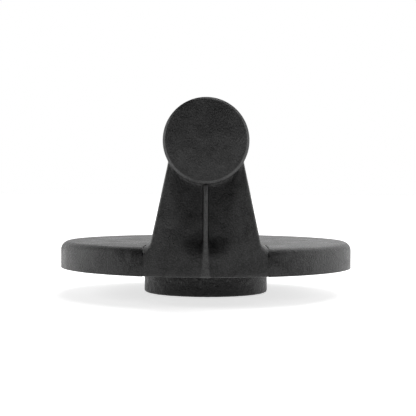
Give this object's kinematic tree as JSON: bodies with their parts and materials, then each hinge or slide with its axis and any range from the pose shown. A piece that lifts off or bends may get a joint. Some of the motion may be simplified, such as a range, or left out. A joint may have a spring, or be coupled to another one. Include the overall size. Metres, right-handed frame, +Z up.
{
  "type": "sink plunger",
  "caption": "Black sink plunger: a wide round cover with a bridge handle above and a rubber plug below that enters the sink outlet.",
  "frame": {"origin": "centre of the plug's lower face, on which the plunger stands", "axes": "+Z up through the plug and cover, +Y along the handle's bar, the front end cap at -Y"},
  "size_m": [0.115, 0.117, 0.0728],
  "materials": {
    "grip_plastic": "black moulded plastic, fine satin grain",
    "cap_plastic": "black moulded plastic, smooth satin face with a paler bevel",
    "cover_plastic": "black moulded plastic, mottled and lightly scuffed",
    "plate_plastic": "black moulded plastic, even satin",
    "plug_rubber": "black rubber, open matte grain",
    "seal_rubber": "black rubber, smooth matte",
    "stainless": "stainless steel, fine turned lines",
    "tube_aluminium": "drawn aluminium",
    "insert_brass": "turned brass"
  },
  "bodies": {
    "root": {"left_grip_half": "grip_plastic", "right_grip_half": "grip_plastic", "front_end_cap": "cap_plastic", "rear_end_cap": "cap_plastic", "core_tube": "tube_aluminium", "cover_disc": "cover_plastic", "base_plate": "plate_plastic", "base_plate_screws": "stainless", "rim_seal": "seal_rubber", "grip_screws": "stainless", "grip_screw_washers": "stainless", "grip_inserts": "insert_brass", "plug": "plug_rubber", "plug_bush": "stainless", "plug_washer": "stainless", "plug_bolt": "stainless", "hub_insert": "insert_brass"}
  },
  "joints": []
}
